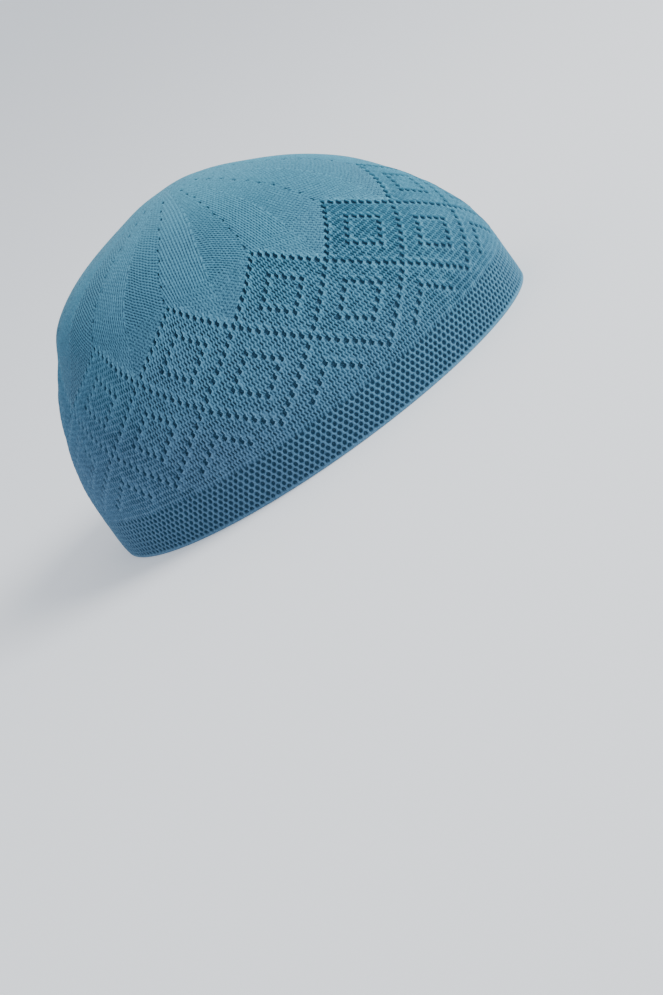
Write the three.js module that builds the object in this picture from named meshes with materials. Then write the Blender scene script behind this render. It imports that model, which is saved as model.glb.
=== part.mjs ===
// A soft knitted cap, one hollow piece open at the rim.
//
// Millimetres, +Z up. The origin is the centre of the rim's underside. The wearer faces -Y,
// and the wearer's right side is towards -X.

import * as THREE from 'three';

// Driving dimensions.
const LENGTH = 202; // outside, front to back, at the widest level
const WIDTH = 160; // outside, side to side, at the widest level
const HEIGHT = 115.5; // rim to crown, before the pinch
const WALL = 1.6; // thickness of the knitting
const PINCH_DEPTH = 1.6; // where the crown's sectors meet
const PINCH_RADIUS = 10;

// How finely the wall is divided.
const SEGMENTS = 72; // round the head
const STEPS_PER_SECTION = 2; // rings between two rows of the table

// Level sections from the rim to the crown. height is a share of HEIGHT, and front, back and
// side are shares of the half length and the half width. The rim is drawn in at the sides, the
// back stays upright and turns over a soft shoulder, and the front leans back evenly.
const SECTIONS = [
  { height: 0.000, front: 1.000, back: 0.995, side: 0.982 },
  { height: 0.040, front: 1.000, back: 1.000, side: 0.995 },
  { height: 0.106, front: 0.998, back: 1.000, side: 1.000 },
  { height: 0.214, front: 0.993, back: 0.996, side: 1.000 },
  { height: 0.332, front: 0.962, back: 0.977, side: 0.975 },
  { height: 0.455, front: 0.894, back: 0.932, side: 0.917 },
  { height: 0.578, front: 0.799, back: 0.869, side: 0.838 },
  { height: 0.700, front: 0.680, back: 0.774, side: 0.730 },
  { height: 0.809, front: 0.522, back: 0.687, side: 0.607 },
  { height: 0.895, front: 0.345, back: 0.522, side: 0.436 },
  { height: 0.956, front: 0.189, back: 0.289, side: 0.240 },
  { height: 1.000, front: 0.000, back: 0.000, side: 0.000 },
];

// The section past the crown mirrors the one before it, so that the crown is round, and the
// section below the rim carries the wall straight on.
function neighbour(row) {
  const last = SECTIONS.length - 1;
  if (row > last) {
    const { height, front, back, side } = SECTIONS[2 * last - row];
    return { height, front: -front, back: -back, side: -side };
  }
  if (row < 0) {
    const rim = SECTIONS[0];
    const next = SECTIONS[1];
    const below = (column) => 2 * rim[column] - next[column];
    return { height: below('height'), front: below('front'), back: below('back'), side: below('side') };
  }
  return SECTIONS[row];
}

// One column of the table at any place between two rows, on a smooth curve through the rows.
function smooth(column, place) {
  const row = Math.min(Math.floor(place), SECTIONS.length - 2);
  const t = place - row;
  const [a, b, c, d] = [-1, 0, 1, 2].map((step) => neighbour(row + step)[column]);
  return b + 0.5 * t * (c - a + t * (2 * a - 5 * b + 4 * c - d + t * (3 * (b - c) + d - a)));
}

// A point of the outside. turn runs from 0 at the front over the wearer's right side.
function outsidePoint(place, turn) {
  const reach = Math.cos(turn) > 0 ? smooth('front', place) : smooth('back', place);
  const x = -(WIDTH / 2) * smooth('side', place) * Math.sin(turn);
  const y = -(LENGTH / 2) * reach * Math.cos(turn);
  const pinch = PINCH_DEPTH * Math.exp(-(x * x + y * y) / (PINCH_RADIUS * PINCH_RADIUS));
  return new THREE.Vector3(x, y, HEIGHT * smooth('height', place) - pinch);
}

// The inside lies one wall's thickness in, square to the outside.
function insidePoint(place, turn) {
  const delta = 0.01;
  const here = outsidePoint(place, turn);
  const round = outsidePoint(place, turn + delta).sub(outsidePoint(place, turn - delta));
  const up = outsidePoint(place + delta, turn).sub(outsidePoint(place - delta, turn));
  const inward = round.cross(up).normalize();
  if (place === 0) inward.setZ(0).normalize();
  return here.addScaledVector(inward, WALL);
}

// A wall with an outside skin, an inside skin and a flat ring that joins them at the rim.
function capGeometry() {
  const rings = (SECTIONS.length - 1) * STEPS_PER_SECTION;
  const crown = SECTIONS.length - 1;
  const positions = [];
  const faces = [];

  for (const pointOn of [outsidePoint, insidePoint]) {
    for (let ring = 0; ring < rings; ring += 1) {
      for (let segment = 0; segment < SEGMENTS; segment += 1) {
        const turn = (2 * Math.PI * segment) / SEGMENTS;
        positions.push(...pointOn(ring / STEPS_PER_SECTION, turn).toArray());
      }
    }
  }
  const topOutside = positions.length / 3;
  const top = outsidePoint(crown, 0);
  positions.push(top.x, top.y, top.z, top.x, top.y, top.z - WALL);

  const skinSize = rings * SEGMENTS;
  const at = (skin, ring, segment) => skin * skinSize + ring * SEGMENTS + (segment % SEGMENTS);
  for (let segment = 0; segment < SEGMENTS; segment += 1) {
    for (let ring = 0; ring < rings - 1; ring += 1) {
      const [a, b] = [at(0, ring, segment), at(0, ring, segment + 1)];
      const [c, d] = [at(0, ring + 1, segment + 1), at(0, ring + 1, segment)];
      faces.push(a, c, b, a, d, c);
      faces.push(a + skinSize, b + skinSize, c + skinSize, a + skinSize, c + skinSize, d + skinSize);
    }
    const [lastA, lastB] = [at(0, rings - 1, segment), at(0, rings - 1, segment + 1)];
    faces.push(lastA, topOutside, lastB);
    faces.push(lastA + skinSize, lastB + skinSize, topOutside + 1);
    const [rimA, rimB] = [at(0, 0, segment), at(0, 0, segment + 1)];
    faces.push(rimA, rimB, rimB + skinSize, rimA, rimB + skinSize, rimA + skinSize);
  }

  const geometry = new THREE.BufferGeometry();
  geometry.setAttribute('position', new THREE.Float32BufferAttribute(positions, 3));
  geometry.setIndex(faces);
  geometry.computeVertexNormals();
  return geometry;
}

const knitting = new THREE.MeshStandardMaterial({ color: 0x4c7690, roughness: 0.9, metalness: 0 });

const cap = new THREE.Mesh(capGeometry(), knitting);
cap.name = 'knitted_cap';

const model = new THREE.Group();
model.add(cap);

export default model;
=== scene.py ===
# %% [markdown]
# # A knitted chechia cap
#
# A chechia is a soft, close-fitting cap, knitted in the round in one piece.
# This one has a net band at the rim, two tiers of eyelet diamonds, and a crown
# of eleven plain sectors that swirl a little as they narrow to the pole.
#
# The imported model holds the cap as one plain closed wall. Knitting painted on
# that wall would look flat in its eyelets and at its outline, so this notebook
# knits it as geometry: sheets with a face to each stitch are made flat, cut,
# thickened, and laid on the wall's own surface.
#
# Everything is in metres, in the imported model's own frame: the rim rests on
# z = 0, the front is -Y, the wearer's right-hand side is -X.

import math

import bmesh
import bpy
import numpy as np
from mathutils import Matrix, Vector


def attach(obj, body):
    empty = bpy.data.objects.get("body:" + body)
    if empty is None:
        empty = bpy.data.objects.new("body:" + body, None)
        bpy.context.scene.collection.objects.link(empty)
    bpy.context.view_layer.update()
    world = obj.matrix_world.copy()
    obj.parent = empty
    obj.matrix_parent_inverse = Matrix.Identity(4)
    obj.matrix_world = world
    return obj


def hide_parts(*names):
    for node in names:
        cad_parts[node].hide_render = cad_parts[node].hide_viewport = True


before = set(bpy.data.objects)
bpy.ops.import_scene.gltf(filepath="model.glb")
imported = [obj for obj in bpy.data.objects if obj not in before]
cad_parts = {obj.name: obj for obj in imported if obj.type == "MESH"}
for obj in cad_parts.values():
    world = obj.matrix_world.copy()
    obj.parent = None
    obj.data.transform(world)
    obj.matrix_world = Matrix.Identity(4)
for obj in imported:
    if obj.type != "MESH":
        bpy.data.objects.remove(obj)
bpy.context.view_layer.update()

# %% [markdown]
# ## The cap's surface
#
# The surface is the table of level sections that the solid wall is made from.
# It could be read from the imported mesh, but that mesh has flat facets, and they
# would show as steps in knitting this fine. Each row of the table gives a level
# as a share of the height, then how far the section reaches to the front, the
# back and the sides as shares of the half sizes. A smooth curve runs through the
# rows, and each section is two half ellipses.

# %% title: The table of sections
LENGTH, WIDTH, HEIGHT = 0.202, 0.160, 0.1155
PINCH_DEPTH, PINCH_RADIUS = 0.0016, 0.010
SECTIONS = np.array(
    [
        # height, front, back, side
        (0.000, 1.000, 0.995, 0.982),
        (0.040, 1.000, 1.000, 0.995),
        (0.106, 0.998, 1.000, 1.000),
        (0.214, 0.993, 0.996, 1.000),
        (0.332, 0.962, 0.977, 0.975),
        (0.455, 0.894, 0.932, 0.917),
        (0.578, 0.799, 0.869, 0.838),
        (0.700, 0.680, 0.774, 0.730),
        (0.809, 0.522, 0.687, 0.607),
        (0.895, 0.345, 0.522, 0.436),
        (0.956, 0.189, 0.289, 0.240),
        (1.000, 0.000, 0.000, 0.000),
    ]
)
LAST = len(SECTIONS) - 1


def neighbour(row):
    """A row of the table, mirrored past the crown and carried on below the rim."""
    above = SECTIONS[np.clip(2 * LAST - row, 0, LAST)] * [1, -1, -1, -1]
    below = 2 * SECTIONS[0] - SECTIONS[1]
    inside = SECTIONS[np.clip(row, 0, LAST)]
    row = row[..., None]
    return np.where(row > LAST, above, np.where(row < 0, below, inside))


def section(place):
    """Height, front, back and side at a place counted in rows of the table."""
    row = np.clip(np.floor(place), 0, LAST - 1).astype(int)
    t = (place - row)[..., None]
    a, b, c, d = (neighbour(row + k) for k in (-1, 0, 1, 2))
    return b + 0.5 * t * (
        c - a + t * (2 * a - 5 * b + 4 * c - d + t * (3 * (b - c) + d - a))
    )


def on_surface(place, turn):
    """Points of the outer surface; turn is 0 at the front and a quarter at -X."""
    height, front, back, side = np.moveaxis(section(place), -1, 0)
    reach = np.where(np.cos(turn) > 0, front, back)
    x = -WIDTH / 2 * side * np.sin(turn)
    y = -LENGTH / 2 * reach * np.cos(turn)
    dip = PINCH_DEPTH * np.exp(-(x * x + y * y) / PINCH_RADIUS**2)
    return np.stack([x, y, HEIGHT * height - dip], axis=-1)


# %% [markdown]
# ## From flat knitting to the cap
#
# A knitter writes a pattern on squared paper, so every piece is first made flat:
# one unit across is a stitch and one unit up is a row. Then it is laid on the
# surface by walking round the rim and up the meridians, as knitting in the round
# does. A Shrinkwrap modifier could lay a sheet too, but it wouldn't keep the
# rows and the stitches evenly spaced where the cap turns over to its crown.

# %% title: Count the stitches and the rows
REPEATS, STITCHES = 11, 36
ROUND = REPEATS * STITCHES
BAND, LACE_ROWS, ROW = 0.0195, 30, 0.00233
LACE_TOP = BAND + LACE_ROWS * ROW
# the crown loses one stitch of every sector in each row
CROWN_ROWS = STITCHES
ALL_ROWS = LACE_ROWS + CROWN_ROWS
print("stitches round the cap:", ROUND, "and rows above the band:", ALL_ROWS)

# %% title: Walk round the rim and up the meridians
turns = np.linspace(0, 2 * math.pi, 1441)
rim_line = np.stack([WIDTH / 2 * np.sin(turns), LENGTH / 2 * np.cos(turns)], axis=-1)
rim_steps = np.linalg.norm(np.diff(rim_line, axis=0), axis=1)
round_walk = np.concatenate([[0], np.cumsum(rim_steps)])
GIRTH = round_walk[-1]

places = np.linspace(0, LAST, 881)
spokes = np.linspace(0, 2 * math.pi, 361)
lines = on_surface(*np.meshgrid(places, spokes, indexing="ij"))
climbs = np.cumsum(np.linalg.norm(np.diff(lines, axis=0), axis=2), axis=0)
climbs = np.concatenate([np.zeros((1, len(spokes))), climbs])
print("round the rim, mm:", round(GIRTH * 1000, 1))
print("front, side and back meridians, mm:", np.round(climbs[-1, [0, 90, 180]] * 1000, 1))

# %% title: Find a place from a share of the climb
SHARES = np.linspace(0, 1, 1201)
place_at = np.stack(
    [np.interp(SHARES * climb[-1], climb, places) for climb in climbs.T], axis=1
)


def place_for(share, turn):
    """The place in the table at a share of the way up the meridian."""
    line, column = share * (len(SHARES) - 1), turn / (2 * math.pi) * (len(spokes) - 1)
    i = np.clip(np.floor(line), 0, len(SHARES) - 2).astype(int)
    j = np.clip(np.floor(column), 0, len(spokes) - 2).astype(int)
    s, t = line - i, column - j
    low = place_at[i, j] * (1 - t) + place_at[i, j + 1] * t
    high = place_at[i + 1, j] * (1 - t) + place_at[i + 1, j + 1] * t
    return low * (1 - s) + high * s


# %% title: Where a stitch comes on the cap
# where the first repeat starts, as a share of the round
FIRST_COLUMN = 0.2425
# the knitting leans as it climbs, and a little more in each row of the crown
LEAN, CROWN_LEAN = 0.14, 0.0036
# rows lie a little closer in front, and stitches are wider at the sides
CLOSER_IN_FRONT, WIDER_AT_SIDES, WIDER_HIGH_UP = 0.02, 0.01, 0.7


def climb_of(rows, turn):
    """How far up its meridian a row lies, and how long the meridian is."""
    whole = np.interp(turn, spokes, climbs[-1])
    uneven = 1 - CLOSER_IN_FRONT * np.cos(turn)
    top = LACE_TOP * uneven
    crown = top + (rows - LACE_ROWS) / CROWN_ROWS * (whole - top)
    lace = (BAND + rows * ROW) * uneven
    return np.where(rows > LACE_ROWS, crown, lace), whole


def turn_of(across, rows):
    """The turn round the cap of a stitch, with the knitting's slight lean."""
    up = np.clip(BAND + rows * ROW, 0, LACE_TOP)
    lean = up + (rows - LACE_ROWS).clip(0) * CROWN_LEAN
    share = FIRST_COLUMN - across / ROUND
    spread = WIDER_AT_SIDES + WIDER_HIGH_UP * up
    share = share - spread / (4 * math.pi) * np.sin(4 * math.pi * share)
    share = (share - LEAN * lean / GIRTH) % 1.0
    return np.interp(share * GIRTH, round_walk, turns)


# %% title: Hand knitting is never quite even
# waves in a round, how far each moves on in a row, and how high it is
WAVES = ((17, 0.31, 0.5), (29, -0.45, 0.4), (53, 0.83, 0.35), (97, -1.4, 0.25))
STITCH_SWAY, ROW_SWAY = 0.16, 0.12
# nothing sways at the rim or in the last rows at the pole
RIM_ZONE, STILL_ROWS, CALMING_ROWS = 0.004, 4, 8


def wobble(across, rows, seed):
    """A smooth unevenness of the rows and stitches, the same at both ends of a round."""
    a = 2 * math.pi * across / ROUND
    return sum(h * np.sin(k * a + m * rows + seed * k) for k, m, h in WAVES)


def swayed(across, rows):
    """Stitches and rows, each moved a little aside."""
    calm = np.clip((rows * ROW + BAND) / RIM_ZONE, 0, 1)
    calm = calm * np.clip((ALL_ROWS - STILL_ROWS - rows) / CALMING_ROWS, 0, 1)
    across = across + STITCH_SWAY * calm * wobble(across, rows, 1.3)
    return across, rows + ROW_SWAY * calm * wobble(across, rows, 2.1)


# %% title: Lay flat points on the surface
STEP_UP, STEP_ROUND = 0.001, 0.002
POLE_FROM, POLE_ZONE = 0.985, 0.012
INSIDE = (0, 0, 0.03)


def lay_on_cap(across, rows, depth):
    """Flat points (stitches across, rows up, metres deep) laid on the cap."""
    across, rows = swayed(across, rows)
    turn = turn_of(across, rows)
    climb, whole = climb_of(rows, turn)
    share = np.clip(climb / whole, 0, 1)
    place = place_for(share, turn)
    below = on_surface(place_for(np.clip(share - STEP_UP, 0, 1), turn), turn)
    above = on_surface(place_for(np.clip(share + STEP_UP, 0, 1), turn), turn)
    along = on_surface(place, turn + STEP_ROUND) - on_surface(place, turn - STEP_ROUND)
    normal = np.cross(along, above - below)
    normal /= np.maximum(np.linalg.norm(normal, axis=-1, keepdims=True), 1e-15)
    outward = np.sum(normal * (on_surface(place, turn) - INSIDE), axis=-1)
    normal *= np.sign(outward)[..., None]
    # straight up at the pole, and level at the rim, so that the rim stays flat
    pole = np.clip((share - POLE_FROM) / POLE_ZONE, 0, 1)[..., None]
    normal = normal * (1 - pole) + pole * [0, 0, 1]
    rim = np.clip(1 - climb / RIM_ZONE, 0, 1)[..., None]
    normal = normal * (1 - rim * [0, 0, 1])
    normal /= np.linalg.norm(normal, axis=-1, keepdims=True)
    return on_surface(place, turn) - normal * depth[..., None]


# %% [markdown]
# ## The pattern of one repeat
#
# An eyelet is a hole that the knitter makes by passing the yarn over the needle.
# A repeat is 36 stitches wide. Its eyelets climb one row at a time and move two
# stitches aside each time, so they draw diamonds: a tier over the band, a tier
# above it half a repeat along, and a small diamond in the middle of each. They
# could be typed in one by one, but the knitter's rule is shorter and has no slips.

# %% title: The eyelets of one repeat
HALF = STITCHES // 2


def eyelet_lines():
    """The eyelets of one repeat, each with 1 where its line climbs to the right."""
    cells = {}
    # the long lines start at a crossing and climb to both sides
    for k in range(10):
        for side in (-1, 1):
            for column, row in ((HALF, 2), (0, 11), (HALF, 20)):
                cells[(column + 2 * side * k) % STITCHES, row + k] = side
    # the small diamonds, and the halves of them that stand on the band
    for k in range(5):
        for side in (-1, 1):
            for column, row in ((HALF, 11), (0, 20)):
                cells[(column + 2 * side * k) % STITCHES, row - 4 + k] = side
                cells[(column + 2 * side * k) % STITCHES, row + 4 - k] = -side
            cells[(2 * side * k) % STITCHES, 6 - k] = -side
    return cells


EYELETS = eyelet_lines()
print("eyelets in a repeat:", len(EYELETS), "and round the cap:", len(EYELETS) * REPEATS)


def from_cell(across, rows, column, row):
    """Stitches and rows from the middle of a cell, in whichever repeat is nearest."""
    sideways = (across - column - 0.5 + HALF) % STITCHES - HALF
    return sideways, rows - row - 0.5


# %% [markdown]
# ## How deep each stitch lies
#
# In real knitting every stitch is a loop of yarn. Loops could be modelled, but
# twenty thousand of them would be too heavy, and what the eye sees of each is the
# dark slot between two strands. So a stitch is a slot, sunk into the sheet, and
# the strands beside it are what stays. Depths are in metres, measured inward
# from the outer surface.

# %% title: Every stitch has its own tension
WALL, DEEPEST = 0.0015, 0.00105
TENSION_ROWS = 80
TENSIONS = np.random.default_rng(11).uniform(0.70, 1.15, (TENSION_ROWS, ROUND))


def tension(across, rows):
    """How deep this stitch is drawn: no two neighbours are quite alike."""
    stitch = np.floor(across).astype(int) % ROUND
    return TENSIONS[np.floor(rows).astype(int).clip(0, TENSION_ROWS - 1), stitch]


def slot(x, y, wide, tall, furrow):
    """A slot between two strands, 1 in its middle, over a fainter endless furrow."""
    return np.exp(-((x / wide) ** 2)) * (furrow + (1 - furrow) * np.exp(-((y / tall) ** 4)))


# %% title: Depth of the tiers' plain ground
TIER_SLOT = (0.31, 0.44, 0.26)
TIER_TOP, TIER_DRAWN = 0.00004, 0.00098


def ground_depth(across, rows):
    """The ground of the tiers: one upright slot in each stitch."""
    x, y = across % 1 - 0.5, rows % 1 - 0.5
    return TIER_TOP + TIER_DRAWN * slot(x, y, *TIER_SLOT) * tension(across, rows)


# %% title: Depth of the crown's finer ground
GORE_START, GORE_WIDTH, GORE_ROW = 20, 0.046, 0.0022
FINE_WALE, FINE_ROW = 0.00122, 0.0019
LEFT_SLANT, RIGHT_SLANT = math.radians(50), math.radians(16)
GORE_SLOT = (0.30, 0.42, 0.3)
GORE_TOP, LEFT_DRAWN, RIGHT_DRAWN = 0.00006, 0.00052, 0.00045
# towards the pole the stitches are drawn half as deep
FADE_FROM, FADE_ROWS = 40, 18
# spreads the wales of a sector over the whole table of tensions
SHUFFLE = 300


def gore_depth(share, rows):
    """The ground of a sector, whose wales slant more in its left half than its right."""
    width = GORE_WIDTH * np.clip((ALL_ROWS - rows) / CROWN_ROWS, 0, 1)
    x = (share - 0.5) * width
    z = (rows - GORE_START) * GORE_ROW
    slant = np.where(share < 0.5, LEFT_SLANT, RIGHT_SLANT)
    wale = (x * np.cos(slant) + z * np.sin(slant)) / FINE_WALE
    course = (z * np.cos(slant) - x * np.sin(slant)) / FINE_ROW
    # every other wale is half a stitch higher
    u, v = wale % 1 - 0.5, (course + 0.5 * (np.floor(wale) % 2)) % 1 - 0.5
    drawn = np.where(share < 0.5, LEFT_DRAWN, RIGHT_DRAWN)
    drawn = drawn * (1 - 0.5 * np.clip((rows - FADE_FROM) / FADE_ROWS, 0, 1))
    return GORE_TOP + drawn * slot(u, v, *GORE_SLOT) * tension(wale + SHUFFLE * share, course)


# %% title: Depth over the tiers
PROUD, EYELET_LIP, LIP_WIDE = 0.00014, 0.00092, 0.4
RING_AT, RING_WIDE = 1.6, 0.42


def lip(near):
    """How far the yarn has turned down into a hole, where near is 1 at its edge."""
    return np.clip(1 + LIP_WIDE - near, 0, LIP_WIDE) / LIP_WIDE


def crown_ground(across, rows):
    """1 where the crown's finer ground comes down between the upper diamonds."""
    from_crossing = abs(from_cell(across, rows, HALF, 0)[0])
    return np.clip((rows - GORE_START - 0.5) * 2 - from_crossing, 0, 1)


def lace_depth(across, rows):
    """The ground, with a raised strand at each eyelet's right and a lip at its hole."""
    depth = ground_depth(across, rows)
    over = crown_ground(across, rows)
    share = ((across - HALF) % STITCHES) / STITCHES
    depth = depth * (1 - over) + gore_depth(share, rows) * over
    for column, row in EYELETS:
        x, y = from_cell(across, rows, column, row)
        near = np.maximum(abs(x), abs(y)) * 2
        to_right = np.clip(0.35 + 0.9 * x - 0.3 * y, 0, 1)
        ring = np.exp(-(((near - RING_AT) / RING_WIDE) ** 2)) * to_right
        depth = depth * (1 - ring) - PROUD * ring + EYELET_LIP * lip(near)
    return np.minimum(depth, DEEPEST)


# %% [markdown]
# ## Tools for flat knitting
#
# A sheet starts as a grid with one face to a stitch. The eyelets' faces are
# deleted, the sheet is extruded downward to a thickness, and only its upper
# side is divided again, because only the strands that show need to be round.
# Boolean cuts could make the holes too, but they are slow in their thousands.

# %% title: Make a sheet
# the underside is one unit below, so halfway down tells the two sides apart
HALFWAY = -0.5


def new_grid(columns, rows, left=0.0, bottom=0.0):
    """A flat grid of unit faces with its lower left corner at (left, bottom)."""
    bm = bmesh.new()
    bmesh.ops.create_grid(bm, x_segments=columns, y_segments=rows, size=0.5)
    bmesh.ops.scale(bm, vec=(columns, rows, 1), verts=bm.verts)
    middle = (left + columns / 2, bottom + rows / 2, 0)
    bmesh.ops.translate(bm, vec=middle, verts=bm.verts)
    return bm


def open_cells(bm, is_hole):
    """The faces of the cells that are holes."""
    middles = [(f, f.calc_center_median()) for f in bm.faces]
    return [f for f, m in middles if is_hole(math.floor(m.x), math.floor(m.y))]


def thicken(bm):
    """Extrude the sheet down to an underside one unit below."""
    if sum(f.normal.z for f in bm.faces) < 0:
        bmesh.ops.reverse_faces(bm, faces=bm.faces)
    made = bmesh.ops.extrude_face_region(bm, geom=bm.faces[:], use_keep_orig=True)
    under = [g for g in made["geom"] if isinstance(g, bmesh.types.BMVert)]
    bmesh.ops.translate(bm, vec=(0, 0, -1), verts=under)
    bmesh.ops.recalc_face_normals(bm, faces=bm.faces)


# %% title: Open its ends and divide its upper side
TOUCHING = 0.01


def stands_at(corners, x):
    """Whether all the corners of a face lie at one place across the sheet."""
    return all(abs(c.x - x) < TOUCHING for c in corners)


def open_ends(bm, at_end):
    """Delete the upright faces that would lie inside the seam of a round."""
    ends = [
        f
        for f in bm.faces
        if abs(f.normal.z) < 0.5 and at_end([v.co for v in f.verts])
    ]
    bmesh.ops.delete(bm, geom=ends, context="FACES_ONLY")


def divide_upper(bm, cuts):
    """Divide the edges of the upper side."""
    upper = [e for e in bm.edges if all(v.co.z > HALFWAY for v in e.verts)]
    bmesh.ops.subdivide_edges(bm, edges=upper, cuts=cuts, use_grid_fill=True)


# %% title: Turn a sheet into a piece
def new_piece(name, bm):
    """An object in the scene, made from a bmesh that is then set free."""
    mesh = bpy.data.meshes.new(name)
    bm.to_mesh(mesh)
    bm.free()
    piece = bpy.data.objects.new(name, mesh)
    bpy.context.collection.objects.link(piece)
    return piece


def flat_points(piece):
    """The places of a piece's vertices, in stitches, rows and sides of the sheet."""
    points = np.empty(len(piece.data.vertices) * 3)
    piece.data.vertices.foreach_get("co", points)
    return points.reshape(-1, 3)


# %% title: Lay a sheet on the cap
# how deep in shade the inside of the cap is, and when two points are one
INSIDE_SHADE, SAME_POINT = 0.3, 3e-6
CREASE = math.radians(65)


def lay(piece, across, rows, depth, shade=1.0):
    """Lay a flat piece on the cap, and keep its stitch coordinates as its UVs."""
    mesh = piece.data
    stitches = flat_points(piece)[:, :2].astype(np.float32)
    corners = np.empty(len(mesh.loops), dtype=np.int32)
    mesh.loops.foreach_get("vertex_index", corners)
    mesh.uv_layers.new(name="stitches").data.foreach_set("uv", stitches[corners].ravel())
    # the groove value is painted shade: the deeper a point lies, the darker the yarn is drawn
    # there, and the inside of the cap is drawn in shade too
    groove = mesh.attributes.new("groove", "FLOAT", "POINT")
    values = np.where(depth < WALL, depth / WALL * shade, INSIDE_SHADE)
    groove.data.foreach_set("value", values.astype(np.float32))
    mesh.vertices.foreach_set("co", lay_on_cap(across, rows, depth).ravel())
    bm = bmesh.new()
    bm.from_mesh(mesh)
    bmesh.ops.remove_doubles(bm, verts=bm.verts, dist=SAME_POINT)
    loose = [e for e in bm.edges if not e.link_faces]
    bmesh.ops.delete(bm, geom=loose, context="EDGES")
    bmesh.ops.recalc_face_normals(bm, faces=bm.faces)
    open_edges = sum(1 for e in bm.edges if not e.is_manifold)
    triangles = sum(len(f.verts) - 2 for f in bm.faces)
    bm.to_mesh(mesh)
    bm.free()
    mesh.shade_smooth()
    mesh.set_sharp_from_angle(angle=CREASE)
    print(f"{piece.name}: {triangles} triangles, {open_edges} open edges")


# %% [markdown]
# ## The openwork tiers
#
# Thirty rows of lace show the two tiers of diamonds. As one sheet they would be
# too heavy, so they are made as three courses of ten rows, which meet without a
# seam. A square eyelet looks cut with a knife. Each one is rounded and leans with
# the line that it belongs to, as the yarn round it pulls it.

# %% title: Round the holes
ROUNDNESS = 2.4
# half an eyelet's width and height, and how it leans with its line
EYELET_WIDE, EYELET_TALL = 0.53, 0.49
RIGHT_LEAN, LEFT_LEAN = 0.34, -0.14
# how far a hole's corners at the back close in, so that no light shows through
PINHOLE = 0.98


def round_hole(moved, points, x, y, wide, tall, slant):
    """Move the points round a hole onto a rounded outline, a pinhole at the back."""
    near = np.maximum(abs(x), abs(y))
    upper = points[:, 2] > HALFWAY
    front = (near < 1.0) & (near > 0.1) & upper
    px, py, size = x[front], y[front], near[front]
    ex, ey = px / size, py / size
    reach = (abs(ex / wide) ** ROUNDNESS + abs(ey / tall) ** ROUNDNESS) ** (-1 / ROUNDNESS)
    weight = np.clip(2 * (1 - size), 0, 1)
    moved[front, 0] += weight * ((ex + slant * ey) * reach - px)
    moved[front, 1] += weight * (ey * reach - py)
    rear = (near < 0.51) & ~upper
    moved[rear, 0] -= PINHOLE * x[rear]
    moved[rear, 1] -= PINHOLE * y[rear]


def round_eyelets(points):
    """Flat points, with those round each eyelet moved onto its outline."""
    moved = points.copy()
    lowest, highest = points[:, 1].min() - 1, points[:, 1].max() + 1
    for (column, row), side in EYELETS.items():
        if lowest < row + 0.5 < highest:
            x, y = from_cell(points[:, 0], points[:, 1], column, row)
            lean = RIGHT_LEAN if side > 0 else LEFT_LEAN
            round_hole(moved, points, x, y, EYELET_WIDE, EYELET_TALL, lean)
    return moved


# %% title: Build the three courses of lace
# the strands swing aside in every row, and the crown's grooves are in more shade
ZIGZAG, CROWN_SHADE = 0.21, 0.6


def is_eyelet(column, row):
    """Whether a stitch of the round is an eyelet."""
    return (column % STITCHES, row) in EYELETS


def lace_course(name, first_row, rows):
    """One course of the tiers, all the way round the cap."""
    bm = new_grid(ROUND, rows, bottom=first_row)
    bmesh.ops.delete(bm, geom=open_cells(bm, is_eyelet), context="FACES")
    thicken(bm)

    def at_end(corners):
        row = math.floor(sum(c.y for c in corners) / len(corners))
        at_seam = stands_at(corners, 0) or stands_at(corners, ROUND)
        return at_seam and not is_eyelet(0, row)

    open_ends(bm, at_end)
    divide_upper(bm, 3)
    piece = new_piece(name, bm)
    points = flat_points(piece)
    across, rows_up = points[:, 0], points[:, 1]
    upper = points[:, 2] > HALFWAY
    depth = np.where(upper, lace_depth(across, rows_up), WALL)
    moved = round_eyelets(points)
    sway = np.where(upper, ZIGZAG * np.sin(2 * math.pi * rows_up), 0)
    shade = 1 + CROWN_SHADE * crown_ground(across, rows_up)
    lay(piece, moved[:, 0] + sway, moved[:, 1], depth, shade)
    return piece


courses = [
    lace_course("openwork_low", 0, 10),
    lace_course("openwork_mid", 10, 10),
    lace_course("openwork_high", 20, 10),
]

# %% [markdown]
# ## The net band
#
# The band at the rim is a net of round holes, between a plain cast-on edge and
# the first row of the tiers. A texture with holes in it would have no thickness,
# and the knitting here is about as thick as the holes are wide. So open and
# closed cells alternate like a chequerboard. Each open cell is inset and its
# middle deleted, then its hole is made round, and the closed cells beside it give
# way. The net is made as two parts, because one would be too heavy.

# %% title: Cut a flat net
NET_CELLS = 40 * REPEATS
# rows of holes, and the line of the grid where the lower part ends
NET_ROWS, NET_SPLIT = 8, 5
INSET = 0.16


def net_holes(column, row):
    """Whether a cell is open. The lowest and the highest row have no holes."""
    return 1 <= row <= NET_ROWS and (column + row) % 2 == 0


def net_grid(name, first_row, rows):
    """A flat part of the net, with a hole in every other cell."""
    bm = new_grid(NET_CELLS, rows, bottom=first_row)
    holes = open_cells(bm, net_holes)
    bmesh.ops.inset_individual(bm, faces=holes, thickness=INSET, use_even_offset=True)
    bmesh.ops.delete(bm, geom=holes, context="FACES")
    thicken(bm)
    open_ends(bm, lambda corners: stands_at(corners, 0) or stands_at(corners, NET_CELLS))
    divide_upper(bm, 2)
    return new_piece(name, bm)


# %% title: Shape the net's holes
CELL, NET_ROW = GIRTH / NET_CELLS, 0.0022
HOLE, REAR_HOLE, BULGE = 0.00064, 0.00002, 0.22


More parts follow.
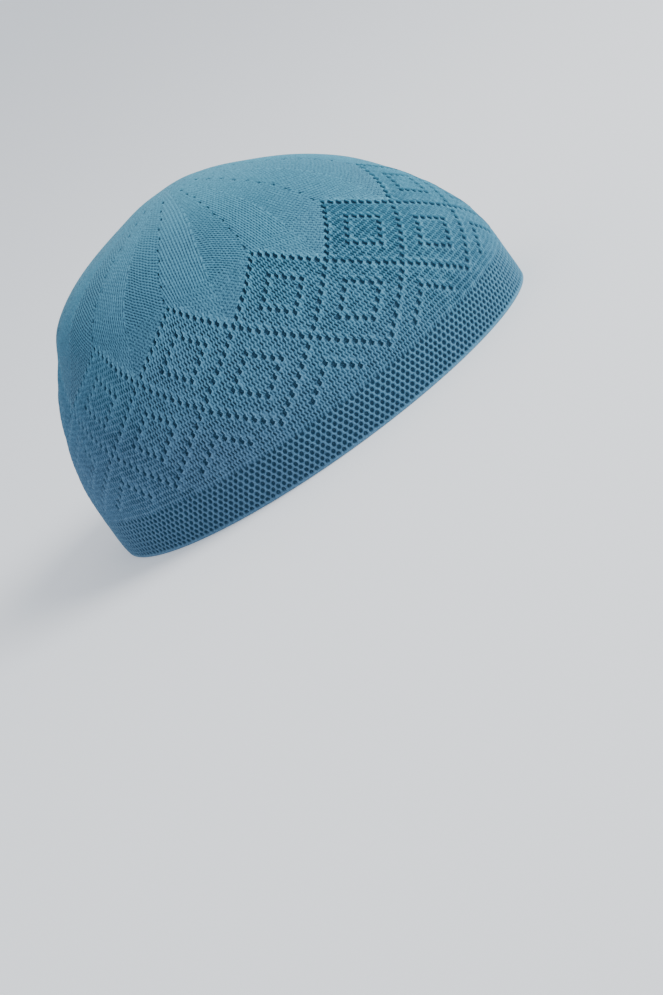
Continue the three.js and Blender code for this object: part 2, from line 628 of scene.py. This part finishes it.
def round_net(points):
    """Make the net's holes round, and let the closed cells beside them give way."""
    column, row = np.floor(points[:, 0]), np.floor(points[:, 1])
    x, y = points[:, 0] - column - 0.5, points[:, 1] - row - 0.5
    in_net = (points[:, 1] > 1) & (points[:, 1] < NET_ROWS + 1)
    open_cell = in_net & ((column + row) % 2 == 0)
    near = 2 * np.maximum(abs(x), abs(y))
    edge_x, edge_y = x / np.maximum(near, 1e-6), y / np.maximum(near, 1e-6)
    wide = (edge_x + BULGE * np.cos(math.pi * edge_y) * edge_x * 2) * CELL
    tall = edge_y * NET_ROW
    stretch = HOLE / np.maximum(np.hypot(wide, tall), 1e-9)
    out = np.clip((near - (1 - 2 * INSET)) / (2 * INSET), 0, 1)
    hole_x = (wide * stretch * (1 - out) + wide * out) / CELL
    hole_y = (tall * stretch * (1 - out) + tall * out) / NET_ROW
    closed_x = x * (1 - 2 * BULGE * np.cos(math.pi * y))
    new_x = np.where(open_cell, hole_x, np.where(in_net, closed_x, x))
    new_y = np.where(open_cell, hole_y, y)
    upper = points[:, 2] > HALFWAY
    shrink = np.where(open_cell & (near < 0.99), REAR_HOLE / HOLE, 1)
    new_x = np.where(upper, new_x, x * shrink) + column + 0.5
    new_y = np.where(upper, new_y, y * shrink) + row + 0.5
    return new_x, new_y, np.where(open_cell, out, 1)


# %% title: Build the two parts of the net
EDGE, EDGE_DEPTH = 0.0008, 0.00012
TOP_STRAND, LOW_STRAND = 0.00002, 0.00022
STRAND_FALL, STRAND_WIDE = 0.0008, 0.62
BETWEEN_STRANDS, NET_LIP = 0.0009, 0.0010


def net_part(name, first_row, rows):
    """One part of the band, all the way round the cap."""
    part = net_grid(name, first_row, rows)
    points = flat_points(part)
    new_x, new_y, out = round_net(points)
    # level lines of the grid in metres up the cap
    levels = np.concatenate([[0], EDGE + NET_ROW * np.arange(NET_ROWS + 1), [BAND]])
    up = np.interp(new_y, np.arange(NET_ROWS + 3), levels)
    # rounded, so that the two ends of the round are drawn alike and meet
    across, rows_up = np.round(new_x * ROUND / NET_CELLS, 3), (up - BAND) / ROW
    # the two families of strands, the falling one on top
    falling = abs((points[:, 0] + points[:, 1] - 1) % 2 - 1)
    rising = abs((points[:, 0] - points[:, 1]) % 2 - 1)
    top_strand = TOP_STRAND + STRAND_FALL * (falling / STRAND_WIDE) ** 2
    low_strand = LOW_STRAND + STRAND_FALL * (rising / STRAND_WIDE) ** 2
    strands = np.minimum(np.minimum(top_strand, low_strand), BETWEEN_STRANDS)
    strands = strands * out + NET_LIP * (1 - out)
    inside = np.minimum(points[:, 1] - 1, NET_ROWS + 1 - points[:, 1])
    border = np.clip(inside * 3, 0, 1)
    ground = ground_depth(across, rows_up)
    plain = np.where(points[:, 1] > NET_SPLIT, ground, EDGE_DEPTH)
    depth = np.minimum(plain * (1 - border) + strands * border, DEEPEST)
    lay(part, across, rows_up, np.where(points[:, 2] > HALFWAY, depth, WALL))
    return part


net = [
    net_part("net_low", 0, NET_SPLIT),
    net_part("net_high", NET_SPLIT, NET_ROWS + 2 - NET_SPLIT),
]

# %% [markdown]
# ## The crown
#
# The crown closes by losing one stitch of each sector in every row. So a sector
# is a right triangle of knitting: its right-hand edge is straight, and a stitch
# is lost at its left edge. The whole crown could be one grid pulled together at
# the pole, but its stitches would shrink to slivers there. Instead a square grid
# is cut along its diagonal, and each row is spread over its share of the round,
# so that every stitch keeps its width. Three rings keep the pieces light.

# %% title: Eyelets of the crown
MIDDLE_ROWS = range(1, 30, 3)
# half the width, half the height and the lean of these smaller holes
CROWN_HOLE = (0.26, 0.30, 0.25)


def hole_column(row):
    """The column of the sector's middle in a row, where its eyelets are."""
    return math.floor(HALF + (row + 0.5) / 2)


def crown_hole(column, row):
    """A line of wide-spaced eyelets climbs from the middle of each sector."""
    return row in MIDDLE_ROWS and column == hole_column(row)


# %% title: A flat ring of eleven sectors
def sector_tile(first_row, rows):
    """A band across one sector, cut along the sector's left edge."""
    bm = new_grid(STITCHES - first_row, rows, left=first_row, bottom=first_row)
    bmesh.ops.delete(bm, geom=open_cells(bm, crown_hole), context="FACES")
    bmesh.ops.bisect_plane(
        bm,
        geom=bm.verts[:] + bm.edges[:] + bm.faces[:],
        plane_co=(0, 0, 0),
        plane_no=(-1, 1, 0),
        clear_outer=True,
        dist=1e-5,
    )
    thicken(bm)

    def at_end(corners):
        on_diagonal = all(abs(c.x - c.y) < TOUCHING for c in corners)
        return on_diagonal or stands_at(corners, STITCHES)

    open_ends(bm, at_end)
    return bm


def ring_of_sectors(name, first_row, rows, cuts):
    """The same band across all the sectors, side by side."""
    bm = sector_tile(first_row, rows)
    tile = bm.verts[:] + bm.edges[:] + bm.faces[:]
    for k in range(1, REPEATS):
        made = bmesh.ops.duplicate(bm, geom=tile)
        verts = [g for g in made["geom"] if isinstance(g, bmesh.types.BMVert)]
        bmesh.ops.translate(bm, vec=(STITCHES * k, 0, 0), verts=verts)
    divide_upper(bm, cuts)
    return new_piece(name, bm)


# %% title: Build the crown
# the sectors meet in a shallow groove, with a small pit in every other row
SEAM_DEPTH, PIT_DEPTH, CROWN_LIP = 0.00008, 0.00028, 0.0003


def crown_part(name, first_row, rows, cuts):
    """One ring of the crown, all the way round the cap."""
    piece = ring_of_sectors(name, first_row, rows, cuts)
    points = flat_points(piece)
    upper = points[:, 2] > HALFWAY
    sector = np.ceil(points[:, 0] / STITCHES - 1e-5).clip(1) - 1
    x, y = points[:, 0] - sector * STITCHES, points[:, 1]
    left = (STITCHES - y).clip(1e-6)
    depth = gore_depth(1 - (STITCHES - x) / left, y + LACE_ROWS)
    moved = np.stack([x, y, points[:, 2]], axis=-1)
    for row in MIDDLE_ROWS:
        dx, dy = x - hole_column(row) - 0.5, y - row - 0.5
        near = 2 * np.maximum(abs(dx), abs(dy))
        depth = depth + CROWN_LIP * lip(near)
        round_hole(moved, points, dx, dy, *CROWN_HOLE)
    seam = np.clip(1 - 2 * np.minimum(STITCHES - x, x - y), 0, 1)
    pits = SEAM_DEPTH + PIT_DEPTH * np.clip(np.cos(math.pi * y), 0, 1) ** 2
    depth = depth * (1 - seam) + pits * seam
    depth = np.where(upper, np.minimum(depth, DEEPEST), WALL)
    # spread each row over its sector's share of the round
    left = (STITCHES - moved[:, 1]).clip(1e-6)
    across = HALF + STITCHES * (1 - (STITCHES - moved[:, 0]) / left) + sector * STITCHES
    flat = np.stack([across, moved[:, 1] + LACE_ROWS, points[:, 2]], axis=-1)
    laid = round_eyelets(flat) if first_row == 0 else flat
    lay(piece, laid[:, 0], laid[:, 1], depth, 1 + CROWN_SHADE)
    return piece


crown = [
    crown_part("crown_low", 0, 8, 4),
    crown_part("crown_mid", 8, 10, 4),
    crown_part("crown_top", 18, 18, 3),
]

# %% [markdown]
# ## The yarn
#
# One matte cotton yarn makes the whole cap. The stitches are geometry, so the
# material only has to be yarn: painted light and shade, which takes the colour
# from a deep blue at the back to a lighter teal at the front and the crown, where
# the lamps fall, painted shade in the grooves, where little light comes, pale
# flecks, and fine fibres that roughen it. An image texture could colour it too,
# but it would repeat, and it would blur from close by.

# %% title: A matte yarn
def node(tree, kind, at, **values):
    """A shader node with its values, given by the name of a socket or a setting."""
    made = tree.nodes.new(kind)
    made.location = at
    for name, value in values.items():
        if name in made.inputs:
            made.inputs[name].default_value = value
        else:
            setattr(made, name, value)
    return made


yarn = bpy.data.materials.new("knit_yarn")
yarn.use_nodes = True
tree = yarn.node_tree
link = tree.links.new
shader = tree.nodes["Principled BSDF"]
shader.inputs["Roughness"].default_value = 0.86
shader.inputs["Specular IOR Level"].default_value = 0.25
shader.inputs["Sheen Weight"].default_value = 0.16
shader.inputs["Sheen Roughness"].default_value = 0.5
shader.inputs["Sheen Tint"].default_value = (0.55, 0.80, 0.92, 1)
place = node(tree, "ShaderNodeTexCoord", (-1500, 300))

# %% title: Painted light, from deep blue at the back to teal in front and above
# painted light and shade: the yarn is drawn a lighter teal in front and above, where the
# lamps fall, and a deeper blue at the back and low down, as if in shade
SHADED_BLUE, LIT_TEAL = (0.068, 0.152, 0.243, 1), (0.052, 0.234, 0.322, 1)
painted_front_light = {"From Min": 0.10, "From Max": -0.10}
painted_top_light = {"From Min": 0.0, "From Max": 0.11}

split = node(tree, "ShaderNodeSeparateXYZ", (-1300, 300))
link(place.outputs["Object"], split.inputs[0])
painted_front = node(tree, "ShaderNodeMapRange", (-1100, 400), **painted_front_light)
link(split.outputs["Y"], painted_front.inputs["Value"])
painted_top = node(tree, "ShaderNodeMapRange", (-1100, 150), **painted_top_light)
link(split.outputs["Z"], painted_top.inputs["Value"])
both = node(tree, "ShaderNodeMath", (-900, 300), operation="ADD")
link(painted_front.outputs[0], both.inputs[0])
link(painted_top.outputs[0], both.inputs[1])
patches = node(tree, "ShaderNodeTexNoise", (-1100, -100), Scale=28.0, Detail=3.0)
link(place.outputs["Object"], patches.inputs["Vector"])
mottle = node(tree, "ShaderNodeMath", (-900, 0), operation="MULTIPLY_ADD")
mottle.inputs[1].default_value = 0.5
link(patches.outputs["Fac"], mottle.inputs[0])
link(both.outputs[0], mottle.inputs[2])
halved = node(tree, "ShaderNodeMath", (-780, 150), operation="MULTIPLY")
halved.inputs[1].default_value = 0.5
link(mottle.outputs[0], halved.inputs[0])
# the ramp turns the painted light, with random patches of tone, into the yarn's colour
tint = node(tree, "ShaderNodeValToRGB", (-650, 300))
for stop, at, colour in zip(tint.color_ramp.elements, (0.35, 1.0), (SHADED_BLUE, LIT_TEAL)):
    stop.position = at
    stop.color = colour
link(halved.outputs[0], tint.inputs["Fac"])

# %% title: Pale flecks, and shade in the grooves
GROOVE_BLUE = (0.016, 0.062, 0.115, 1)
fleck_range = {"From Min": 0.35, "From Max": 0.65, "To Min": 1.02, "To Max": 1.58}
groove_range = {"From Min": 0.11, "From Max": 0.48}

flecks = node(tree, "ShaderNodeTexNoise", (-900, 700), Scale=1500.0, Detail=2.0)
link(place.outputs["Object"], flecks.inputs["Vector"])
paler = node(tree, "ShaderNodeMapRange", (-650, 650), **fleck_range)
link(flecks.outputs["Fac"], paler.inputs["Value"])
lit = node(tree, "ShaderNodeVectorMath", (-450, 300), operation="SCALE")
link(tint.outputs["Color"], lit.inputs[0])
link(paler.outputs[0], lit.inputs["Scale"])
groove = node(tree, "ShaderNodeAttribute", (-900, -300), attribute_name="groove")
deep = node(tree, "ShaderNodeMapRange", (-650, -250), **groove_range)
link(groove.outputs["Fac"], deep.inputs["Value"])
shaded = node(tree, "ShaderNodeMix", (-250, 200), data_type="RGBA")
shaded.inputs["B"].default_value = GROOVE_BLUE
link(deep.outputs[0], shaded.inputs["Factor"])
link(lit.outputs[0], shaded.inputs["A"])
link(shaded.outputs["Result"], shader.inputs["Base Color"])

# %% title: Fibres in the yarn
fibres = node(tree, "ShaderNodeTexNoise", (-900, -550), Scale=2600.0, Detail=3.0)
link(place.outputs["Object"], fibres.inputs["Vector"])
ply_place = node(tree, "ShaderNodeUVMap", (-1500, -700), uv_map="stitches")
twist = {"Scale": 1.1, "Distortion": 1.5, "Detail": 2.0, "Detail Scale": 2.0}
plies = node(tree, "ShaderNodeTexWave", (-900, -800), **twist)
plies.bands_direction = "DIAGONAL"
link(ply_place.outputs["UV"], plies.inputs["Vector"])
fuzz = node(tree, "ShaderNodeMath", (-650, -650), operation="MULTIPLY_ADD")
fuzz.inputs[1].default_value = 0.35
link(plies.outputs["Fac"], fuzz.inputs[0])
link(fibres.outputs["Fac"], fuzz.inputs[2])
bump = node(tree, "ShaderNodeBump", (-350, -400), Strength=0.5, Distance=0.0002)
link(fuzz.outputs[0], bump.inputs["Height"])
link(bump.outputs[0], shader.inputs["Normal"])
print("nodes in the yarn:", len(tree.nodes))

# %% title: Dress the pieces
pieces = [*net, *courses, *crown]
for piece in pieces:
    piece.data.materials.clear()
    piece.data.materials.append(yarn)
    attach(piece, "root")
    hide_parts("knitted_cap")
print("triangles in all:", sum(len(p.data.loop_triangles) for p in pieces))

# %% [markdown]
# ## The setting
#
# The cap stands on a wide pale floor, under a soft sky of light and two large
# lamps. One lamp would leave the grooves black, and light from all around alone
# would leave the stitches flat. The camera looks at the cap's right-hand side and
# is rolled, so that the cap's axis leans to the left.

# %% title: Floor
bm = bmesh.new()
bmesh.ops.create_grid(bm, x_segments=8, y_segments=8, size=12.0)
floor = new_piece("floor", bm)
floor.location.z = -0.0002
pale = bpy.data.materials.new("pale_floor")
pale.use_nodes = True
pale_shader = pale.node_tree.nodes["Principled BSDF"]
pale_shader.inputs["Base Color"].default_value = (0.88, 0.90, 0.92, 1)
pale_shader.inputs["Roughness"].default_value = 0.9
pale_shader.inputs["Emission Color"].default_value = (0.92, 0.96, 1, 1)
pale_shader.inputs["Emission Strength"].default_value = 0.24
floor.data.materials.append(pale)

# %% title: Camera
AIM = Vector((0, 0, 0.052))
AZIMUTH, ELEVATION, ROLL = (math.radians(v) for v in (-91.17, 11.59, -35.48))
AWAY = 1.2
# in millimetres on the sensor: its height, the lens, and how far to the right and
# up of its middle the middle of the cap comes
SENSOR, LENS, OFF_RIGHT, OFF_UP = 24, 69.8894, -1.9031, 4.5081

back = Vector(
    (
        math.sin(AZIMUTH) * math.cos(ELEVATION),
        -math.cos(AZIMUTH) * math.cos(ELEVATION),
        math.sin(ELEVATION),
    )
)
level_right = Vector((0, 0, 1)).cross(back).normalized()
level_up = back.cross(level_right)
right = level_right * math.cos(ROLL) + level_up * math.sin(ROLL)
rise = level_up * math.cos(ROLL) - level_right * math.sin(ROLL)
look = (-back * LENS - right * OFF_RIGHT - rise * OFF_UP).normalized()
right = look.cross(rise).normalized()
rise = right.cross(look)

camera_data = bpy.data.cameras.new("camera")
camera_data.sensor_fit = "VERTICAL"
camera_data.sensor_height = SENSOR
camera_data.lens = LENS
camera_data.clip_end = 60
camera = bpy.data.objects.new("camera", camera_data)
facing = Matrix((right, rise, -look)).transposed().to_4x4()
camera.matrix_world = Matrix.Translation(AIM + back * AWAY) @ facing
bpy.context.collection.objects.link(camera)
bpy.context.scene.camera = camera
print("camera at, m:", [round(c, 3) for c in AIM + back * AWAY])

# %% title: Light
def soft_lamp(name, toward, away, size, power, colour):
    """A round lamp that faces the cap from a direction and a distance."""
    lamp_data = bpy.data.lights.new(name, "AREA")
    lamp_data.shape = "DISK"
    lamp_data.size = size
    lamp_data.energy = power
    lamp_data.color = colour
    lamp = bpy.data.objects.new(name, lamp_data)
    at = AIM + toward.normalized() * away
    lamp.location = at
    lamp.rotation_euler = (AIM - at).to_track_quat("-Z", "Y").to_euler()
    bpy.context.collection.objects.link(lamp)


soft_lamp("key", rise + right * 0.30 + back * 0.45, 1.6, 0.9, 27, (1, 0.99, 0.97))
soft_lamp("fill", back * 0.8 + right * 0.5 + rise * 0.2, 2.2, 1.6, 3, (0.95, 0.98, 1))

world = bpy.data.worlds.new("studio")
world.use_nodes = True
sky = world.node_tree.nodes["Background"]
sky.inputs["Color"].default_value = (0.86, 0.91, 1, 1)
sky.inputs["Strength"].default_value = 0.85
bpy.context.scene.world = world
